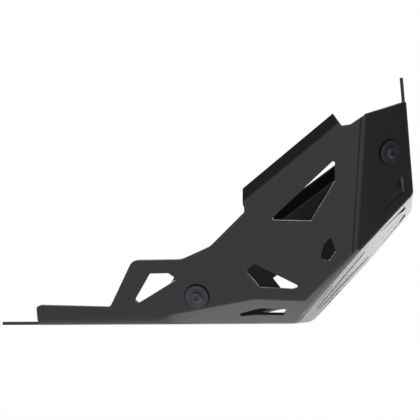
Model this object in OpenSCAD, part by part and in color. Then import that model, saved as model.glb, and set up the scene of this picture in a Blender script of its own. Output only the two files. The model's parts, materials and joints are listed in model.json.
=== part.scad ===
// Motorcycle skid plate: one folded aluminium sheet that wraps the belly, nose and both
// flanks of an engine, held by four rubber-mounted M8 bolts.
// +X is forward, +Y is the rider's left, +Z is up. The origin is under the middle, at belly level.

/* [Overall] */
// Length from the rear edge of the tongue to the front of the nose
guard_l = 510; // [460:1:620]
// Height of the top tab above the belly
guard_h = 296; // [270:1:360]
// Width across the feet of the two side faces
foot_w = 246; // [200:1:300]

/* [Sheet] */
// Thickness of the sheet
sheet_t = 4; // [2:0.5:5]
// Inside radius of the folds
bend_r = 6; // [4:0.5:9]
// Inside radius of the fold between belly and nose
nose_r = 17; // [8:1:22]

/* [Faces] */
// Outward lean of the side faces, in degrees
side_lean = 15; // [8:1:20]
// Turn from the side faces to the corner faces, in degrees
corner_turn = 40; // [30:1:50]
// Forward rake of the folds between side and corner faces, in degrees
corner_rake = 5; // [0:0.5:8]
// Distance from the front of the nose back to the feet of those folds
corner_l = 73; // [60:1:90]
// Backward tilt of the front face, in degrees
front_tilt = 3.5; // [0:0.5:8]
// Slope of the nose face from level, in degrees
nose_slope = 47.5; // [42:0.5:52]
// Height of the fold between nose and front face
nose_h = 149; // [130:1:170]

/* [Lower bevels] */
// Height of the bevel at its knee, along the side face
bevel_h = 30; // [22:1:36]
// Outward lean of the bevel, in degrees
bevel_lean = 52; // [40:1:60]
// Fall of the bevel's upper fold towards the nose, in degrees
bevel_fall = 2; // [0:0.5:3]
// Distance from the front of the nose back to the bevel's knee
bevel_knee = 185; // [170:1:200]
// Distance from the knee back to the bend in the bevel's tail
bevel_mid = 98; // [80:1:118]
// Height of the bevel at that bend, along the side face
bevel_mid_h = 12; // [8:1:14]
// Distance from the knee back to the point where the bevel runs out
bevel_run = 142; // [125:1:170]

/* [Side outline] */
// Length of the tongue behind the side faces
tongue_l = 63.5; // [30:0.5:90]
// Width of the tongue
tongue_w = 140; // [80:1:180]
// Height of the low rim at the rear, along the side face
low_rim = 23; // [16:1:30]
// Length of the low rim
low_rim_l = 90.5; // [70:0.5:110]
// Height of the middle rim, along the side face
mid_rim = 77.5; // [64:0.5:90]
// Slope of the step between the two rims, in degrees
step_slope = 61; // [45:1:75]
// Distance from the corner fold's foot back to the rise after the middle rim
rise_back = 195; // [188:1:202]
// Length of that rise, up to the foot of the ramp
rise_l = 35; // [28:1:42]
// Height of that rise
rise_h = 15; // [10:1:20]
// Slope of the long top edge that carries the flange, in degrees
top_slope = 38; // [34:1:42]
// Height at which the long top edge starts, along the side face
top_low = 138; // [128:1:150]
// Distance from the corner fold's foot back to the start of the long top edge
top_back = 118; // [110:1:126]
// Height of the front end of the side face, along the side face
top_high = 230; // [222:1:240]
// Width of the flat part of the flange on the long top edge
flange_w = 14; // [8:1:20]
// Inward fold of the flange, in degrees
flange_fold = 50; // [30:1:70]

/* [Front outline] */
// Height of the front face below the tab
front_h = 249; // [240:1:262]
// Width of the top tab
tab_w = 120; // [60:1:160]

/* [Outline corners] */
// Corner radius of the sheet's own outline
outline_r = 7; // [3:1:10]
// Corner radius of the windows and slots
window_r = 2; // [1:0.5:3]

/* [Mounting points] */
// Thread diameter of the bolts
bolt_d = 8; // [6:1:10]
// Free length of the bolts inside the guard
bolt_free = 20; // [12:1:30]
// Depth of the waist between the bolt's head and its thread, which keeps the bolt captive
waist = 0.5; // [0.2:0.1:0.8]
// Diameter of the bolt head's collar
collar_d = 17; // [16:0.5:20]
// Thickness of the bolt head's collar
collar_t = 1.2; // [1:0.2:2.4]
// Diameter of the bolt head's dome
dome_d = 14; // [11:0.5:14]
// Height of the bolt head's dome above its collar
dome_t = 2.6; // [2.2:0.2:4.4]
// Size of the hexagon socket across its flats
socket_af = 5; // [4:1:6]
// Diameter of the outer washers
washer_d = 27.5; // [24:0.5:29]
// Diameter of the backing washers
backing_d = 21; // [18:0.5:22]
// Thickness of both washers
washer_t = 1.6; // [1.2:0.2:2.4]
// Diameter of the rubber grommets' outer collars
grommet_d = 29.5; // [26:0.5:32]
// Diameter of the rubber grommets' collars inside the guard
inner_grommet_d = 22; // [21:0.5:23]
// Thickness of one grommet collar
grommet_t = 1.6; // [1.2:0.2:2.4]
// Diameter of the holes in the sheet
sheet_hole_d = 18; // [17:0.5:19]
// Outer diameter of the spacer tubes
spacer_d = 12; // [11.5:0.5:14]
// Clearance round the bolts in their washers and spacers
bolt_play = 0.3; // [0.2:0.1:0.5]
// Clearance between grommet, sheet and spacer
fit_gap = 0.1; // [0.05:0.05:0.2]
// Forward distance of the lower bolts from the middle of the guard
lower_bolt_x = 4; // [-6:1:20]
// Height of the lower bolts, along the side face
lower_bolt_s = 33.5; // [33:0.5:42]
// Distance of the upper bolts from the foot of the corner fold, along the corner face
upper_bolt_u = 19; // [14:1:22]
// Height of the upper bolts, along the corner face
upper_bolt_s = 199.5; // [190:0.5:210]

/* [Hidden] */
$fn = 64;

// Facets of the balls that round the folds, and facets in each fold of the bevel
ball_fn = 32;
bevel_facets = 2;
// How far the bevel's knee slides forward for each degree of a facet's lean
knee_slide = 0.05;
// Radius outside a fold
fold_out = bend_r + sheet_t;
// How far a cutting tool reaches inside and outside the sheet
reach_in = 40;
reach_out = 20;
// How far the uncut shell runs past its trimmed edges
spare = 60;

half_foot = foot_w / 2;
front_x = guard_l / 2;
side_rear = -front_x + tongue_l;
// The sharp edge of nose and front face lies a little ahead of the rounded fold
half_turn = (front_tilt + 90 - nose_slope) / 2;
nose_x = front_x + fold_out * (cos(half_turn - front_tilt) / cos(half_turn) - 1);
fold_x = front_x - corner_l;
knee_x = front_x - bevel_knee;

// Lean of the corner face that makes its fold with the side face a straight line
corner_lean = atan((sin(corner_turn) * tan(corner_rake)
    + cos(corner_turn) * sin(side_lean)) / cos(side_lean));

// A plane is its outward normal and its distance from the origin
function plane(n, p) = [n, n * p];
function level(z) = [[0, 0, 1], z];
function inset(face, r) = [face[0], face[1] - r];
function meet(a, b, c) =
    let (bc = cross(b[0], c[0]), ca = cross(c[0], a[0]), ab = cross(a[0], b[0]))
    (a[1] * bc + b[1] * ca + c[1] * ab) / (a[0] * bc);
function unit(v) = v / norm(v);

fold_foot = [fold_x, -half_foot, 0];
nose_edge = [nose_x, 0, nose_h];

belly = [[0, 0, -1], 0];
side = plane([0, -cos(side_lean), -sin(side_lean)], fold_foot);
corner = plane([sin(corner_turn) * cos(corner_lean),
    -cos(corner_turn) * cos(corner_lean), -sin(corner_lean)], fold_foot);
front = plane([cos(front_tilt), 0, sin(front_tilt)], nose_edge);
nose = plane([sin(nose_slope), 0, -cos(nose_slope)], nose_edge);
ceiling = level(guard_h + spare);
rear = [[-1, 0, 0], front_x + spare];

// The bevel's upper fold is a broken line on the side face, and from there every part of the
// bevel goes down to the belly in the same direction
function on_side_face(x, s) = [x, -half_foot - s * sin(side_lean), s * cos(side_lean)];
bevel_tip = on_side_face(knee_x - bevel_run, 0);
bevel_bend = on_side_face(knee_x - bevel_mid, bevel_mid_h);
bevel_knee_top = on_side_face(knee_x, bevel_h);
bevel_nose = on_side_face(front_x, bevel_h - bevel_knee * tan(bevel_fall));
bevel_down = [0, sin(bevel_lean), -cos(bevel_lean)];
function down_to_belly(p) = p + bevel_down * p[2] / cos(bevel_lean);
bevel = plane(unit(cross(bevel_down, bevel_nose - bevel_knee_top)), bevel_knee_top);
BEVEL_LINE = [2 * bevel_tip - bevel_bend, bevel_bend, bevel_knee_top, bevel_nose];

// A corner of the folded shape: where its ball's centre lies, and its inside radius
function rounded_corner(a, b, c, r) =
    [meet(inset(a, r + sheet_t), inset(b, r + sheet_t), inset(c, r + sheet_t)), r];
CORNERS = [
    rounded_corner(side, belly, rear, bend_r),
    rounded_corner(side, ceiling, rear, bend_r),
    rounded_corner(side, belly, nose, nose_r),
    rounded_corner(side, corner, nose, bend_r),
    rounded_corner(corner, front, nose, bend_r),
    rounded_corner(side, corner, ceiling, bend_r),
    rounded_corner(corner, front, ceiling, bend_r),
];

// An outline's points with its corners rounded, from points written as [x, y, radius]
function rounded(pts) = [
    for (i = [0 : len(pts) - 1])
        each fillet(xy(pts[(i + len(pts) - 1) % len(pts)]), pts[i], xy(pts[(i + 1) % len(pts)]))
];
function xy(p) = [p[0], p[1]];
function fillet(before, p, after) =
    p[2] == 0 ? [xy(p)] :
    let (
        u = unit(before - xy(p)),
        v = unit(after - xy(p)),
        half = acos(u * v) / 2,
        mid = xy(p) + unit(u + v) * p[2] / sin(half),
        from = xy(p) + u * p[2] / tan(half) - mid,
        to = xy(p) + v * p[2] / tan(half) - mid,
        start = atan2(from[1], from[0]),
        turn = atan2(to[1], to[0]) - start,
        sweep = turn > 180 ? turn - 360 : turn < -180 ? turn + 360 : turn,
        steps = ceil(abs(sweep) / 15)
    )
    [for (k = [0 : steps])
        mid + p[2] * [cos(start + sweep * k / steps), sin(start + sweep * k / steps)]];
function same_r(pts, r) = [for (p = pts) [p[0], p[1], r]];

// Frames on a face: X runs along it, Y runs up it and Z points straight out of it
module on_side() translate([0, -half_foot, 0]) rotate([90 + side_lean, 0, 0]) children();
module on_bevel()
    translate(down_to_belly(bevel_knee_top))
        rotate([90 + bevel_lean, 0, 0]) rotate([0, asin(bevel[0][0]), 0]) children();
module on_corner() translate(fold_foot) rotate([90 + corner_lean, 0, corner_turn]) children();
module on_front() translate(nose_edge) rotate([90 - front_tilt, 0, 90]) children();
module on_nose() translate(nose_edge) rotate([180 - nose_slope, 0, 90]) children();
// A point in space as it is written on the corner face
corner_along = [cos(corner_turn), sin(corner_turn), 0];
corner_up = cross(corner[0], corner_along);
function on_corner_xy(p) = [(p - fold_foot) * corner_along, (p - fold_foot) * corner_up];

module both_sides() {
    children();
    mirror([0, 1, 0]) children();
}
// A tool that cuts an outline out of the sheet under a face frame
module through() translate([0, 0, -reach_in]) linear_extrude(reach_in + reach_out) children();
module window(pts) through() polygon(rounded(same_r(pts, window_r)));

// The long top edge of the side face. It ends a little below the face's top and meets the front
// end of the outline after a short run.
top_start = [fold_x - top_back, top_low];
top_drop = 3;
top_end = top_start + (top_high - top_drop - top_low) * [1 / tan(top_slope), 1];
top_run = [9, 1];
// Where the side face's top meets the corner fold
fold_top_s = top_high + 8;
// How much the low rim falls from its rear end to its front end, and its rear end's lean
low_rim_fall = 3;
rear_lean = 2;
// The ramp ends in a short upright step below the long top edge
top_step = 6;
function on_fold(s) = [fold_x + s * tan(corner_rake), s];

// Everything above the side face's outline
module side_waste()
    polygon(rounded([
        [side_rear - spare, 2 * guard_h, 0],
        [side_rear - spare, 0, 0],
        [side_rear, 0, 0],
        [side_rear - rear_lean, low_rim + low_rim_fall / 2, outline_r],
        [side_rear + low_rim_l, low_rim - low_rim_fall / 2, outline_r],
        [side_rear + low_rim_l + (mid_rim - low_rim) / tan(step_slope), mid_rim, 1.5 * outline_r],
        [fold_x - rise_back, mid_rim, 3 * outline_r],
        [fold_x - rise_back + rise_l, mid_rim + rise_h, 2 * outline_r],
        [top_start[0], top_start[1] - top_step, outline_r / 2],
        concat(top_start, 0),
        concat(top_end, 0),
        concat(top_end + top_run, outline_r / 2),
        concat(on_fold(fold_top_s), 0),
        concat(on_fold(2 * guard_h), 0),
    ]));

// Everything above the corner face's top edge
module corner_waste() {
    polygon([
        on_corner_xy(meet(side, corner, level(fold_top_s * cos(side_lean)))),
        on_corner_xy(meet(corner, front, level(front_h))),
        on_corner_xy(meet(corner, front, ceiling)),
        on_corner_xy(meet(side, corner, ceiling)),
    ]);
}

// Everything beside the tab, above the front face
module front_waste()
    polygon(rounded([
        [tab_w / 2, front_h - nose_h, outline_r],
        [tab_w / 2, guard_h - nose_h, outline_r],
        [tab_w / 2 - outline_r, guard_h - nose_h + spare, 0],
        [foot_w, guard_h - nose_h + spare, 0],
        [foot_w, front_h - nose_h, 0],
    ]));

// Belly sheet beside the tongue
module tongue_waste()
    polygon(rounded([
        [side_rear, -tongue_w / 2, outline_r],
        [side_rear, -foot_w, 0],
        [-front_x - spare, -foot_w, 0],
        [-front_x - spare, -tongue_w / 2, 0],
    ]));

// The blank that the windows are cut from: folded on every edge, open above and behind
module folded_sheet()
    difference() {
        folded_block(sheet_t);
        folded_block(0);
        translate([-guard_l, -guard_l, guard_h]) cube([2 * guard_l, 2 * guard_l, guard_l]);
        translate([-front_x - guard_l, -guard_l, -guard_l]) cube([guard_l, 2 * guard_l, 2 * guard_l]);
        translate([-guard_l, -guard_l, sheet_t]) cube([guard_l + side_rear, 2 * guard_l, guard_l]);
        both_sides() {
            translate([0, 0, -reach_in]) linear_extrude(guard_h) tongue_waste();
            on_side() through() side_waste();
            on_corner() through() corner_waste();
            on_front() through() front_waste();
        }
    }
// The solid inside the sheet, grown by t: the inside of the folds at 0, the outside at sheet_t
module folded_block(t)
    difference() {
        hull() both_sides() for (c = CORNERS) translate(c[0]) ball(c[1] + t);
        both_sides() {
            for (k = [0 : bevel_facets]) {
                share = k / (bevel_facets + 1);
                below_bevel(BEVEL_LINE, side_lean, bevel_lean, 1 - share, t);
                if (k > 0) below_bevel([for (p = BEVEL_LINE) down_to_belly(p)],
                    bevel_lean, 90, share, t);
            }
            for (k = [1 : bevel_facets + 1]) beyond(facet(bevel, nose, k / (bevel_facets + 2), t));
        }
    }
// Everything below a facet of the bevel: the line is a sharp fold between two leans, and the
// facet touches that fold's round at a share of the way from the first lean to the second.
// The knee and the bend lie a little further forward the more a facet leans.
module below_bevel(line, lean_a, lean_b, share, t) {
    lean = lean_a + (lean_b - lean_a) * share;
    slide = (lean - bevel_lean) * knee_slide;
    out = [0, -cos(lean), -sin(lean)];
    cut_back = fold_out * ((cos(lean - lean_a) + cos(lean_b - lean)) / (1 + cos(lean_b - lean_a)) - 1);
    rotate([90 + lean, 0, 0]) rotate([90, 0, 0]) translate([0, 0, -guard_l])
        linear_extrude(2 * guard_l) polygon([
            for (p = line) [p[0] + slide, p * out - cut_back + t - sheet_t],
            [guard_l, guard_l],
            [-guard_l, guard_l],
        ]);
}
// A facet that touches the round of the fold between two faces at a share of the way across
function facet(a, b, share, t) =
    let (
        turn = acos(a[0] * b[0]),
        k = sin((1 - share) * turn) / sin(turn),
        m = sin(share * turn) / sin(turn)
    )
    [k * a[0] + m * b[0], k * (a[1] - fold_out) + m * (b[1] - fold_out) + bend_r + t];
// Everything beyond a plane
module beyond(face)
    rotate([0, acos(face[0][2]), atan2(face[0][1], face[0][0])])
        translate([-guard_l, -guard_l, face[1]]) cube(2 * guard_l);
// A ball whose flat poles lie at its full radius
module ball(r) sphere(r / cos(180 / ball_fn), $fn = ball_fn);

// Windows in the side face, from the foot of its corner fold
module side_windows() {
    translate([fold_x, 0]) {
        window([[-89, 122], [-13, 190], [-14, 165], [-42.5, 120]]);
        window([[-20, 102], [-15.5, 85], [-23, 74], [-34, 76], [-28.5, 93]]);
        window([[-108.5, 71.5], [-119.5, 63.5], [-104, 43.5], [-67, 41], [-57, 44]]);
    }
    translate([side_rear, 0])
        window([[141, 61.5], [163, 61.7], [173, 54.3], [125, 26], [121, 30]]);
}
module bevel_windows() window([[-17, 17.3], [-20, 22], [8, 29.8], [38, 28.3], [33, 17.3]]);
module corner_windows() window([[42, 176], [49, 155], [17, 126]]);
// Slots in the nose face, from the middle of its upper fold
module nose_slots() {
    window([[-15, -179], [-27, -179], [-72, -90], [-58, -84]]);
    window([[-77, -168], [-84, -168], [-99, -143], [-91, -143]]);
    window([[-92, -58], [-84, -56], [-62, -27], [-24, -14], [-68, -14]]);
}

// The flange's section: X runs on up the side face from its edge, Y points out of it
function flange_section(skin, root) =
    let (
        steps = ceil(flange_fold / 5),
        outer = [for (k = [0 : steps]) fold_point(fold_out - skin, flange_fold * k / steps)],
        inner = [for (k = [steps : -1 : 0]) fold_point(bend_r + skin, flange_fold * k / steps)],
        flat = flange_w * [cos(flange_fold), -sin(flange_fold)]
    )
    concat([[-root, skin - sheet_t], [-root, -skin]],
        outer, [outer[steps] + flat, inner[0] + flat], inner);
function fold_point(r, turn) = [r * sin(turn), r * cos(turn) - fold_out];

// A flange that folds inwards along the long top edge of the side face
module top_flange() {
    skin = 0.05; // keeps its faces clear of the sheet's own faces where they join
    root = 2; // how deep it starts inside the sheet
    intersection() {
        translate(top_start) rotate(top_slope) rotate([90, 0, 90])
            linear_extrude(norm(top_end - top_start)) polygon(flange_section(skin, root));
        through() polygon([
            top_start - [2, 4],
            top_start - [1, 0],
            top_start + [-6, 60],
            top_end + [-50, 60],
            top_end,
            top_end - [0, 4],
        ]);
    }
}

module guard_shell()
    color([0.16, 0.16, 0.17]) {
        difference() {
            folded_sheet();
            both_sides() {
                on_side() side_windows();
                on_bevel() bevel_windows();
                on_corner() corner_windows();
                on_nose() nose_slots();
                at_upper_point() sheet_hole();
                at_lower_point() sheet_hole();
            }
        }
        both_sides() on_side() top_flange();
    }

// Frames of the mounting points: Z points straight out of the sheet
module at_upper_point() on_corner() translate([upper_bolt_u, upper_bolt_s, 0]) children();
module at_lower_point() on_side() translate([lower_bolt_x, lower_bolt_s, 0]) children();
module sheet_hole() translate([0, 0, -reach_in]) cylinder(h = reach_in + reach_out, d = sheet_hole_d);

// Where the washers seat, outside and inside the sheet
outer_seat = fit_gap + grommet_t;
inner_seat = -sheet_t - fit_gap - grommet_t;

// The bolt's thread is a plain cylinder of its outer diameter. The waist above it lies in the
// washers and the spacer.
module bolt() {
    head_seat = outer_seat + washer_t;
    dome_seat = head_seat + collar_t;
    thread_end = inner_seat - washer_t;
    tip = thread_end - bolt_free;
    point = 0.8; // chamfer at the tip and at the collar's rim
    crown_d = socket_af + 3; // flat round the socket
    color([0.2, 0.2, 0.21])
        difference() {
            rotate_extrude()
                polygon(concat(
                    [
                        [0, tip], [bolt_d / 2 - point, tip], [bolt_d / 2, tip + point],
                        [bolt_d / 2, thread_end - waist], [bolt_d / 2 - waist, thread_end],
                        [bolt_d / 2 - waist, head_seat], [collar_d / 2, head_seat],
                        [collar_d / 2, dome_seat - collar_t / 2], [collar_d / 2 - point, dome_seat],
                    ],
                    dome_arc(dome_d / 2, crown_d / 2, dome_seat, dome_t),
                    [[0, dome_seat + dome_t]]
                ));
            translate([0, 0, dome_seat])
                cylinder(h = 2 * dome_t, d = socket_af / cos(30), $fn = 6);
        }
}
// A quarter of an ellipse from the dome's rim up to the flat round its socket
function dome_arc(rim_r, crown_r, z, h) = [
    for (turn = [0 : 15 : 90]) [crown_r + (rim_r - crown_r) * cos(turn), z + h * sin(turn)]
];

module washer() {
    edge = washer_t / 3;
    color([0.24, 0.24, 0.25])
        rotate_extrude()
            polygon([
                [bolt_d / 2 + bolt_play, outer_seat], [washer_d / 2, outer_seat],
                [washer_d / 2, outer_seat + washer_t - edge],
                [washer_d / 2 - edge, outer_seat + washer_t],
                [bolt_d / 2 + bolt_play, outer_seat + washer_t],
            ]);
}

module grommet() {
    bore = spacer_d / 2 + fit_gap;
    neck = sheet_hole_d / 2 - fit_gap;
    rim = grommet_t / 3;
    color([0.05, 0.05, 0.05])
        rotate_extrude()
            polygon([
                [bore, inner_seat], [inner_grommet_d / 2, inner_seat],
                [inner_grommet_d / 2, inner_seat + grommet_t], [neck, inner_seat + grommet_t],
                [neck, outer_seat - grommet_t], [grommet_d / 2, outer_seat - grommet_t],
                [grommet_d / 2, outer_seat - rim], [grommet_d / 2 - rim, outer_seat],
                [bore, outer_seat],
            ]);
}

module spacer()
    color([0.6, 0.6, 0.62])
        translate([0, 0, inner_seat])
            difference() {
                cylinder(h = outer_seat - inner_seat, d = spacer_d);
                translate([0, 0, -1])
                    cylinder(h = outer_seat - inner_seat + 2, r = bolt_d / 2 + bolt_play);
            }

module backing()
    color([0.6, 0.6, 0.62])
        translate([0, 0, inner_seat - washer_t])
            difference() {
                cylinder(h = washer_t, d = backing_d);
                translate([0, 0, -1]) cylinder(h = washer_t + 2, r = bolt_d / 2 + bolt_play);
            }

guard_shell();
at_upper_point() bolt();  // bolt_upper_right
at_upper_point() washer();  // washer_upper_right
at_upper_point() grommet();  // grommet_upper_right
at_upper_point() spacer();  // spacer_upper_right
at_upper_point() backing();  // backing_upper_right
mirror([0, 1, 0]) at_upper_point() bolt();  // bolt_upper_left
mirror([0, 1, 0]) at_upper_point() washer();  // washer_upper_left
mirror([0, 1, 0]) at_upper_point() grommet();  // grommet_upper_left
mirror([0, 1, 0]) at_upper_point() spacer();  // spacer_upper_left
mirror([0, 1, 0]) at_upper_point() backing();  // backing_upper_left
at_lower_point() bolt();  // bolt_lower_right
at_lower_point() washer();  // washer_lower_right
at_lower_point() grommet();  // grommet_lower_right
at_lower_point() spacer();  // spacer_lower_right
at_lower_point() backing();  // backing_lower_right
mirror([0, 1, 0]) at_lower_point() bolt();  // bolt_lower_left
mirror([0, 1, 0]) at_lower_point() washer();  // washer_lower_left
mirror([0, 1, 0]) at_lower_point() grommet();  // grommet_lower_left
mirror([0, 1, 0]) at_lower_point() spacer();  // spacer_lower_left
mirror([0, 1, 0]) at_lower_point() backing();  // backing_lower_left
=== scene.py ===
# Looks of the motorcycle skid plate: powder-coated sheet with softened edges, bolts with real
# threads, turned washers and spacers, moulded rubber grommets, a pale floor and a soft studio.
# The camera and the studio are in metres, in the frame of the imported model. Sizes of the part are
# in millimetres.
import json
import math

import bmesh
import bpy
from mathutils import Matrix, Vector


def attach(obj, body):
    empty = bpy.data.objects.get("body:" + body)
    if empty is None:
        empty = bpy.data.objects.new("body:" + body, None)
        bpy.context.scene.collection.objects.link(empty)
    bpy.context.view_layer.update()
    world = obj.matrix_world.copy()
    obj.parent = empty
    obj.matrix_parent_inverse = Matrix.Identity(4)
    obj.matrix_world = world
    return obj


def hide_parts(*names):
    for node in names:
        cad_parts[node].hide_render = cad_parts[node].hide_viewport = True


MM = 0.001

# Camera: where it stands, how it is turned in degrees, its lens in millimetres and how far it sees
CAMERA_AT = (0.2409, -1.430, 0.010)
CAMERA_YAW = 9.65
CAMERA_PITCH = 5.345
CAMERA_ROLL = -0.35
LENS = 96.86
SENSOR = 36.0
NEAR, FAR = 0.01, 50.0

# Floor: how far it lies below the part, half its width, its finish and its own glow
FLOOR_DROP = 0.16
FLOOR_HALF = 4.0
FLOOR_GREY, FLOOR_ROUGHNESS = 0.85, 0.7
FLOOR_GLOW = 0.60

# Light table: a softbox just above the floor that shines up at the part
TABLE_RISE = 0.004
TABLE_AT = (0.19, -0.02, TABLE_RISE - FLOOR_DROP)
TABLE_SIZE = (0.46, 0.28)
TABLE_GLOW = 1.25

# Backdrop: a wide softbox behind the part
BACKDROP_AT = (0.2, 4.0, 0.6)
BACKDROP_SIZE = (6.0, 3.2)
BACKDROP_GLOW = 1.6

# Flag: an upright grey card ahead of the nose
FLAG_AT = (0.46, 0.20, 0.35)
FLAG_SIZE = (1.0, 1.0)
FLAG_GREY, FLAG_ROUGHNESS = 0.3, 0.9

# Sky: white up to one height on a sphere of radius 1, and grey from another height on
WHITE_TO, GREY_FROM = 0.28, 0.5
SKY_GREY = 0.12

# Sheet: the round on its cut edges, and the fold angles above which an edge is a cut edge or sharp
SHEET_EDGE = 0.3
EDGE_SEGMENTS = 3
CUT_EDGE_ANGLE = 55.0
FOLD_ANGLE = 33.0
# Points nearer to each other than this are one, and faces within this many degrees are flat
SAME_POINT = 0.001
SAME_PLANE = 0.1

# Folds between side and corner faces: the foot of their sharp edge, the lean of the side faces and
# the rake of the edge in degrees, and how far behind the edge the round starts
FOLD_X, HALF_FOOT = 182.0, 123.0
SIDE_LEAN, CORNER_RAKE = 15.0, 5.0
FOLD_REACH = 3.6
# A painted shade line where the round starts, a thin line of lower gloss that looks darker: its width,
# and the coat's gloss beside it and on it
SHADE_LINE_WIDTH = 2.0
COAT_GLOSS, SHADE_LINE_GLOSS = 0.5, 0.2

# Tints of the coat and of the plated steels
COAT_TINT = (1.0, 0.98, 1.3)
BLACKENED_TINT = (0.92, 0.97, 1.1)
ZINC_TINT = (1.0, 1.0, 0.98)
# Coat and rubber: the darkest and the lightest tone, and the smoothest and the roughest finish
COAT_GREYS, COAT_ROUGHNESS = (0.0105, 0.0125), (0.28, 0.32)
RUBBER_GREYS, RUBBER_ROUGHNESS = (0.003, 0.005), (0.66, 0.76)
# Plated steel: its darkest tone as a share of its grey, and how much its roughness varies
DARK_SHARE = 0.82
ROUGHNESS_SPREAD = 0.08

# Fastener stack, outwards from the sheet's outer face
SHEET_T = 4.0
FIT_GAP = 0.1
GROMMET_D, INNER_GROMMET_D, GROMMET_T = 29.5, 22.0, 1.6
WASHER_D, BACKING_D, WASHER_T = 27.5, 21.0, 1.6
SPACER_D, BOLT_D, BOLT_PLAY, WAIST = 12.0, 8.0, 0.3, 0.5
BOLT_FREE, POINT = 20.0, 0.8
COLLAR_D, COLLAR_T, DOME_D, DOME_T = 17.0, 1.2, 14.0, 2.6
SOCKET_AF, SOCKET_DEPTH, SOCKET_RIM = 5.0, 2.4, 3.0
SHEET_HOLE_D = 18.0
OUTER_SEAT = FIT_GAP + GROMMET_T
INNER_SEAT = -SHEET_T - FIT_GAP - GROMMET_T

# Thread: pitch, depth, and half the width of a groove as a share of the pitch
PITCH, THREAD_DEPTH, GROOVE_SHARE = 1.25, 0.6, 0.44
ROWS_A_TURN = 10
# Socket: how much wider its mouth is, how deep the mouth's chamfer is, and the cone at its bottom
MOUTH_EXTRA, MOUTH_DEPTH, CONE_DEPTH = 0.5, 0.25, 0.5

# Rounds on the edges of turned pieces; a pair holds those on the lower and the upper outer edge
BORE_EDGE = 0.15
WASHER_EDGES = (0.15, 0.6)
SPACER_EDGES = (0.2, 0.2)
BACKING_EDGES = (0.3, 0.15)
COLLAR_EDGE = 0.35
# Flat left between the two rounds on a grommet collar's rim
GROMMET_FLAT = 0.1

# Facets round a turned piece and up a bolt's dome, and the angles above which their edges are sharp
ROUND = 72
DOME_STEPS = 8
TURNED_ANGLE = 40
BOLT_ANGLE = 38


def colour(grey, tint=(1.0, 1.0, 1.0)):
    """A grey with a tint, as red, green, blue and opacity."""
    return (grey * tint[0], grey * tint[1], grey * tint[2], 1.0)


class NodeMaterial:
    """A short way to write a node material."""

    def __init__(self, name):
        self.material = bpy.data.materials.new(name)
        self.material.use_nodes = True
        self.tree = self.material.node_tree
        self.tree.nodes.clear()
        self.output = self.add("ShaderNodeOutputMaterial")
        self.shader = self.add("ShaderNodeBsdfPrincipled")
        self.link(self.shader, "BSDF", self.output, "Surface")
        self.place = self.add("ShaderNodeTexCoord")

    def add(self, kind, **values):
        node = self.tree.nodes.new(kind)
        for key, value in values.items():
            node.inputs[key.replace("_", " ")].default_value = value
        return node

    def link(self, source, output, target, name):
        self.tree.links.new(source.outputs[output], target.inputs[name])

    def set(self, **values):
        for key, value in values.items():
            self.shader.inputs[key.replace("_", " ")].default_value = value

    def noise(self, scale, detail=2.0):
        """Noise in the object's own frame, with about as many waves a metre as its scale."""
        node = self.add("ShaderNodeTexNoise", Scale=scale, Detail=detail)
        self.link(self.place, "Object", node, "Vector")
        return node

    def ramp(self, noise, low, high, places=(0.3, 0.7)):
        """Turns a noise into greys or colours, from low at the first place to high at the other."""
        node = self.add("ShaderNodeValToRGB")
        for element, place, value in zip(node.color_ramp.elements, places, (low, high)):
            element.position = place
            element.color = value if isinstance(value, tuple) else colour(value)
        self.link(noise, "Fac", node, "Fac")
        return node

    def calc(self, operation, *values):
        """A math node's output; each value is a number or a pair of node and output name."""
        node = self.tree.nodes.new("ShaderNodeMath")
        node.operation = operation
        for socket, value in zip(node.inputs, values):
            if isinstance(value, tuple):
                self.tree.links.new(value[0].outputs[value[1]], socket)
            else:
                socket.default_value = value
        return node, "Value"

    def bump(self, noise, strength, distance, before=None):
        """Fine relief from a noise, on top of the relief before it if there is one."""
        node = self.add("ShaderNodeBump", Strength=strength, Distance=distance)
        self.link(noise, "Fac", node, "Height")
        if before is not None:
            self.link(before, "Normal", node, "Normal")
        return node

    def surface(self, shade, roughness, grain):
        """Links a shade, a roughness and a bump to the shader, and gives the finished material."""
        self.link(shade, "Color", self.shader, "Base Color")
        self.link(roughness, "Color", self.shader, "Roughness")
        self.link(grain, "Normal", self.shader, "Normal")
        return self.material


def fold_shade_line(look):
    """1 on a thin line of painted shade on the side faces, where their front folds start,
    and 0 elsewhere."""
    split = look.add("ShaderNodeSeparateXYZ")
    look.link(look.place, "Object", split, "Vector")
    lean = math.tan(math.radians(SIDE_LEAN))
    rake = math.tan(math.radians(CORNER_RAKE)) / math.cos(math.radians(SIDE_LEAN))
    out = look.calc("ABSOLUTE", (split, "Y"))
    foot_x = look.calc("SUBTRACT", (split, "X"), look.calc("MULTIPLY", (split, "Z"), rake))
    foot_y = look.calc("SUBTRACT", out, look.calc("MULTIPLY", (split, "Z"), lean))
    on_line = look.calc("COMPARE", foot_x, (FOLD_X - FOLD_REACH) * MM, SHADE_LINE_WIDTH / 2 * MM)
    on_face = look.calc("COMPARE", foot_y, HALF_FOOT * MM, SHADE_LINE_WIDTH / 2 * MM)
    return look.calc("MULTIPLY", on_line, on_face)


def powder_coat():
    """Satin black powder coat: a fine orange-peel grain and faint cloudy changes of sheen."""
    look = NodeMaterial("powder_coat")
    look.set(IOR=1.5)
    # Painted shade: the coat's gloss is lowered along a thin line where the folds start, so it looks
    # darker there
    loss = look.calc("MULTIPLY", fold_shade_line(look), COAT_GLOSS - SHADE_LINE_GLOSS)
    gloss = look.calc("SUBTRACT", COAT_GLOSS, loss)
    look.link(*gloss, look.shader, "Specular IOR Level")
    shade = look.ramp(look.noise(9.0, detail=3.0), *(colour(grey, COAT_TINT) for grey in COAT_GREYS))
    roughness = look.ramp(look.noise(14.0), *COAT_ROUGHNESS)
    peel = look.bump(look.noise(700.0, detail=1.0), 0.2, 0.03 * MM)
    grain = look.bump(look.noise(2600.0), 0.3, 0.012 * MM, before=peel)
    return look.surface(shade, roughness, grain)


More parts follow.
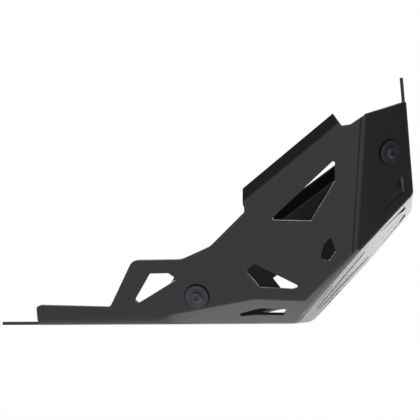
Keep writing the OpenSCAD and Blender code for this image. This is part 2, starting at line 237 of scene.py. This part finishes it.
def plated(name, grey, roughness, tint):
    """Plated or blackened steel with faint changes of tone and a fine grain."""
    look = NodeMaterial(name)
    look.set(Metallic=1.0)
    dark, light = colour(grey * DARK_SHARE, tint), colour(grey, tint)
    shade = look.ramp(look.noise(90.0, detail=4.0), dark, light, places=(0.35, 0.65))
    varied = look.ramp(look.noise(300.0), roughness, roughness + ROUGHNESS_SPREAD)
    grain = look.bump(look.noise(3000.0), 0.2, 0.02 * MM)
    return look.surface(shade, varied, grain)


def rubber():
    """Matt black moulded rubber."""
    look = NodeMaterial("rubber")
    look.set(Specular_IOR_Level=0.12)
    shade = look.ramp(look.noise(200.0), *RUBBER_GREYS)
    roughness = look.ramp(look.noise(500.0), *RUBBER_ROUGHNESS)
    grain = look.bump(look.noise(1500.0), 0.3, 0.03 * MM)
    return look.surface(shade, roughness, grain)


def add_piece(name, bm, slot, nodes, smooth_angle):
    """Makes an object of a mesh, smooth but for edges sharper than smooth_angle degrees."""
    bmesh.ops.recalc_face_normals(bm, faces=bm.faces)
    for face in bm.faces:
        face.smooth = True
    for edge in bm.edges:
        if edge.is_manifold and edge.calc_face_angle() > math.radians(smooth_angle):
            edge.smooth = False
    mesh = bpy.data.meshes.new(name)
    bm.to_mesh(mesh)
    bm.free()
    piece = bpy.data.objects.new(name, mesh)
    bpy.context.scene.collection.objects.link(piece)
    mesh.materials.append(materials[slot])
    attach(piece, "root")
    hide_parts(*nodes)
    return piece


def soft_shell(node):
    """The sheet with rounded cut edges: its flat faces are joined, then the cut edges get a small
    round, and normals follow the large faces so that flats stay flat and folds look round."""
    bm = bmesh.new()
    bm.from_mesh(node.data)
    bmesh.ops.remove_doubles(bm, verts=bm.verts, dist=SAME_POINT * MM)
    bmesh.ops.dissolve_limit(bm, angle_limit=math.radians(SAME_PLANE), verts=bm.verts, edges=bm.edges)
    cut = [e for e in bm.edges if e.is_manifold and e.calc_face_angle() > math.radians(CUT_EDGE_ANGLE)]
    bmesh.ops.bevel(bm, geom=cut, offset=SHEET_EDGE * MM, segments=EDGE_SEGMENTS, profile=0.5,
                    affect="EDGES", clamp_overlap=True)
    piece = add_piece("guard_shell_coat", bm, "powder_coat", ["guard_shell"], FOLD_ANGLE)
    weighted = piece.modifiers.new("flat faces lead", "WEIGHTED_NORMAL")
    weighted.mode = "FACE_AREA"
    weighted.keep_sharp = True


class Lathe:
    """Rings of points round an axis, joined into a closed skin. A ring's radius and height are
    plain numbers or functions of the angle."""

    def __init__(self, place, around=ROUND):
        self.bm = bmesh.new()
        self.place = place
        self.around = around
        self.rings = []

    def ring(self, radius, height):
        points = []
        for k in range(self.around):
            turn = 2 * math.pi * k / self.around
            r = radius(turn) if callable(radius) else radius
            z = height(turn) if callable(height) else height
            point = Vector((r * math.cos(turn) * MM, r * math.sin(turn) * MM, z * MM))
            points.append(self.bm.verts.new(self.place @ point))
        if self.rings:
            self.join(self.rings[-1], points)
        self.rings.append(points)

    def profile(self, points):
        for r, z in points:
            self.ring(r, z)

    def join(self, a, b):
        for k in range(self.around):
            j = (k + 1) % self.around
            self.bm.faces.new((a[k], a[j], b[j], b[k]))

    def cap(self, height, at_end=True):
        """Closes one end with a fan of triangles round a point on the axis."""
        ring = self.rings[-1 if at_end else 0]
        middle = self.bm.verts.new(self.place @ Vector((0, 0, height * MM)))
        for k in range(self.around):
            self.bm.faces.new((ring[k], ring[(k + 1) % self.around], middle))

    def close(self):
        """Joins the last ring to the first, for a piece with a bore."""
        self.join(self.rings[-1], self.rings[0])


def arc(centre_r, centre_z, radius, start, end, steps=4):
    """Points of a round on a profile: angles in degrees, 0 outwards and 90 up."""
    turns = [math.radians(start + (end - start) * k / steps) for k in range(steps + 1)]
    return [(centre_r + radius * math.cos(t), centre_z + radius * math.sin(t)) for t in turns]


def ring_profile(bore, outer, low, high, edge_low, edge_high):
    """Section of a washer or spacer: rounded at its outer edges, broken at its bore."""
    return (
        [(bore, low + BORE_EDGE), (bore + BORE_EDGE, low)]
        + arc(outer - edge_low, low + edge_low, edge_low, -90, 0)
        + arc(outer - edge_high, high - edge_high, edge_high, 0, 90)
        + [(bore + BORE_EDGE, high), (bore, high - BORE_EDGE)]
    )


def turned_ring(name, place, slot, outer_d, low, high, edges):
    """A washer or spacer round the bolt."""
    lathe = Lathe(place)
    lathe.profile(ring_profile(BOLT_D / 2 + BOLT_PLAY, outer_d / 2, low, high, *edges))
    lathe.close()
    add_piece(name + "_turned", lathe.bm, slot, [name], TURNED_ANGLE)


def grommet(name, place):
    """Two collars and a neck in the sheet's hole, with moulded rounds on the collars' rims."""
    bore, neck = SPACER_D / 2 + FIT_GAP, SHEET_HOLE_D / 2 - FIT_GAP
    outer, inner = GROMMET_D / 2, INNER_GROMMET_D / 2
    rim = (GROMMET_T - GROMMET_FLAT) / 2
    low, high = INNER_SEAT, OUTER_SEAT
    lathe = Lathe(place)
    lathe.profile(
        [(bore, low)]
        + arc(inner - rim, low + rim, rim, -90, 0)
        + arc(inner - rim, low + GROMMET_T - rim, rim, 0, 90)
        + [(neck, low + GROMMET_T), (neck, high - GROMMET_T)]
        + arc(outer - rim, high - GROMMET_T + rim, rim, -90, 0)
        + arc(outer - rim, high - rim, rim, 0, 90)
        + [(bore, high)]
    )
    lathe.close()
    add_piece(name + "_moulded", lathe.bm, "rubber", [name], TURNED_ANGLE)


def hexagon(across_flats):
    """Radius of a hexagon at each angle."""
    def radius(turn):
        return across_flats / 2 / math.cos((turn % (math.pi / 3)) - math.pi / 6)
    return radius


def thread(tip):
    """Radius of a thread at an angle and height: V-shaped grooves with flat crests that climb one
    pitch a turn, and a chamfer at the tip."""
    def at(z):
        def radius(turn):
            phase = (z / PITCH - turn / (2 * math.pi)) % 1.0
            depth = THREAD_DEPTH * max(0.0, 1.0 - abs(phase - 0.5) / GROOVE_SHARE)
            chamfer = max(0.0, tip + POINT - z)
            return BOLT_D / 2 - max(depth, chamfer)
        return radius
    return at


def bolt(name, place):
    """Flanged button head with a hexagon socket, a waisted shank and a threaded end."""
    seat = OUTER_SEAT + WASHER_T
    dome_seat = seat + COLLAR_T
    top = dome_seat + DOME_T
    bottom = top - SOCKET_DEPTH
    thread_end = INNER_SEAT - WASHER_T
    tip = thread_end - BOLT_FREE
    threaded = BOLT_FREE - WAIST
    shank = BOLT_D / 2 - WAIST
    crown = (SOCKET_AF + SOCKET_RIM) / 2
    rim, edge = COLLAR_D / 2 - COLLAR_EDGE, COLLAR_EDGE
    lathe = Lathe(place)
    radius_at = thread(tip)
    rows = math.ceil(threaded / (PITCH / ROWS_A_TURN))
    for k in range(rows + 1):
        z = tip + threaded * k / rows
        lathe.ring(radius_at(z), z)
    lathe.profile([(shank, thread_end), (shank, seat)])
    lathe.profile(arc(rim, seat + edge, edge, -90, 0))
    lathe.profile(arc(rim, dome_seat - edge, edge, 0, 90))
    for k in range(DOME_STEPS + 1):
        turn = math.pi / 2 * k / DOME_STEPS
        lathe.ring(crown + (DOME_D / 2 - crown) * math.cos(turn), dome_seat + DOME_T * math.sin(turn))
    lathe.ring(hexagon(SOCKET_AF + MOUTH_EXTRA), top)
    lathe.ring(hexagon(SOCKET_AF), top - MOUTH_DEPTH)
    lathe.ring(hexagon(SOCKET_AF), bottom)
    lathe.cap(bottom - CONE_DEPTH)
    lathe.cap(tip, at_end=False)
    add_piece(name + "_threaded", lathe.bm, "bolt", [name], BOLT_ANGLE)


def stack_place(mount):
    """Frame of a mounting point: its origin is on the sheet's outer face and Z points outwards.
    The mount lies at the middle of the bolt's thread, and its axis points inwards."""
    out = -Vector(mount["axis"]).normalized()
    wall = mount["dims"]["length_mm"]
    depth = INNER_SEAT - WASHER_T - WAIST - wall / 2
    origin = Vector(mount["pos_m"]) - out * depth * MM
    turned = out.to_track_quat("Z", "Y").to_matrix().to_4x4()
    return Matrix.Translation(origin) @ turned


def fasteners():
    """The five pieces at each of the four mounting points, which the record's pin mounts name."""
    for mount in frame["record"]["mounts"]:
        if mount["kind"] != "pin":
            continue
        where = mount["name"].removeprefix("bolt_")
        place = stack_place(mount)
        bolt("bolt_" + where, place)
        turned_ring("washer_" + where, place, "washer", WASHER_D,
                    OUTER_SEAT, OUTER_SEAT + WASHER_T, WASHER_EDGES)
        grommet("grommet_" + where, place)
        turned_ring("spacer_" + where, place, "zinc_steel", SPACER_D,
                    INNER_SEAT, OUTER_SEAT, SPACER_EDGES)
        turned_ring("backing_" + where, place, "zinc_steel", BACKING_D,
                    INNER_SEAT - WASHER_T, INNER_SEAT, BACKING_EDGES)


def add_camera():
    """A camera that stands and is turned as the constants say: yaw to its left, pitch upwards."""
    data = bpy.data.cameras.new("camera")
    data.lens = LENS
    data.sensor_width = SENSOR
    data.sensor_fit = "HORIZONTAL"
    data.clip_start = NEAR
    data.clip_end = FAR
    camera = bpy.data.objects.new("camera", data)
    bpy.context.scene.collection.objects.link(camera)
    yaw, pitch, roll = (math.radians(a) for a in (CAMERA_YAW, CAMERA_PITCH, CAMERA_ROLL))
    forward = Vector((-math.sin(yaw) * math.cos(pitch), math.cos(yaw) * math.cos(pitch), math.sin(pitch)))
    level = Vector((math.cos(yaw), math.sin(yaw), 0.0))
    upright = level.cross(forward)
    right = math.cos(roll) * level + math.sin(roll) * upright
    up = math.cos(roll) * upright - math.sin(roll) * level
    turned = Matrix((right, up, -forward)).transposed().to_4x4()
    camera.matrix_world = Matrix.Translation(CAMERA_AT) @ turned
    bpy.context.scene.camera = camera


def add_light(name, at, aim, size, glow):
    """A rectangular softbox. Its glow is the brightness of its face, with the white sky at 1."""
    data = bpy.data.lights.new(name, "AREA")
    data.shape = "RECTANGLE"
    data.size, data.size_y = size
    data.energy = glow * math.pi * size[0] * size[1]
    light = bpy.data.objects.new(name, data)
    bpy.context.scene.collection.objects.link(light)
    light.location = at
    light.rotation_euler = (Vector(aim) - Vector(at)).to_track_quat("-Z", "Y").to_euler()


def add_world():
    """The sky of a soft studio: white round the horizon, dimmer overhead."""
    world = bpy.data.worlds.new("studio")
    world.use_nodes = True
    tree = world.node_tree
    place = tree.nodes.new("ShaderNodeTexCoord")
    split = tree.nodes.new("ShaderNodeSeparateXYZ")
    ramp = tree.nodes.new("ShaderNodeValToRGB")
    tree.links.new(place.outputs["Generated"], split.inputs["Vector"])
    tree.links.new(split.outputs["Z"], ramp.inputs["Fac"])
    tree.links.new(ramp.outputs["Color"], tree.nodes["Background"].inputs["Color"])
    low, high = ramp.color_ramp.elements
    low.position = WHITE_TO
    low.color = colour(1.0)
    high.position = GREY_FROM
    high.color = colour(SKY_GREY)
    bpy.context.scene.world = world


def flat_sheet(name, corners, at, look):
    """A flat sheet for the studio: four corners round a place, and its node material."""
    mesh = bpy.data.meshes.new(name)
    mesh.from_pydata(corners, [], [(0, 1, 2, 3)])
    mesh.materials.append(look.material)
    sheet = bpy.data.objects.new(name, mesh)
    sheet.location = at
    bpy.context.scene.collection.objects.link(sheet)
    return sheet


def add_floor():
    """A white floor with a glow of its own."""
    look = NodeMaterial("floor_white")
    look.set(Base_Color=colour(FLOOR_GREY), Roughness=FLOOR_ROUGHNESS)
    look.set(Emission_Color=colour(1.0), Emission_Strength=FLOOR_GLOW)
    h = FLOOR_HALF
    corners = [(-h, -h, 0), (h, -h, 0), (h, h, 0), (-h, h, 0)]
    floor = flat_sheet("floor", corners, (0, 0, -FLOOR_DROP), look)


def add_flag():
    """The grey card ahead of the nose, which only shows in reflections."""
    look = NodeMaterial("flag_cloth")
    look.set(Base_Color=colour(FLAG_GREY), Roughness=FLAG_ROUGHNESS)
    w, h = FLAG_SIZE[0] / 2, FLAG_SIZE[1] / 2
    corners = [(0, -w, -h), (0, w, -h), (0, w, h), (0, -w, h)]
    flag = flat_sheet("flag", corners, FLAG_AT, look)
    flag.visible_camera = False


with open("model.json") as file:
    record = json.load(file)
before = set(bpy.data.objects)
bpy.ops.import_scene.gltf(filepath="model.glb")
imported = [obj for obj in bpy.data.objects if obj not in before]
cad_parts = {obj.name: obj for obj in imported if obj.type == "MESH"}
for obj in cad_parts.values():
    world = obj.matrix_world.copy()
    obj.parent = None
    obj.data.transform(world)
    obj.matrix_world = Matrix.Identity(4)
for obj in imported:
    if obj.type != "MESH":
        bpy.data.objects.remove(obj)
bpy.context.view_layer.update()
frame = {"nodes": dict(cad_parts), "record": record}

materials = {
    "powder_coat": powder_coat(),
    "bolt": plated("bolt", grey=0.085, roughness=0.4, tint=BLACKENED_TINT),
    "washer": plated("washer", grey=0.075, roughness=0.45, tint=BLACKENED_TINT),
    "rubber": rubber(),
    "zinc_steel": plated("zinc_steel", grey=0.6, roughness=0.3, tint=ZINC_TINT),
}
for subpart in frame["record"]["subparts"]:
    data = frame["nodes"][subpart["node"]].data
    data.materials.clear()
    data.materials.append(materials[subpart["material_slot"]])

soft_shell(frame["nodes"]["guard_shell"])
fasteners()

add_camera()
add_world()
add_floor()
add_flag()
add_light("light_table", TABLE_AT, Vector(TABLE_AT) + Vector((0, 0, 1)), TABLE_SIZE, TABLE_GLOW)
add_light("backdrop", BACKDROP_AT, (BACKDROP_AT[0], 0, BACKDROP_AT[2]), BACKDROP_SIZE, BACKDROP_GLOW)
bpy.context.scene.view_settings.view_transform = "Standard"
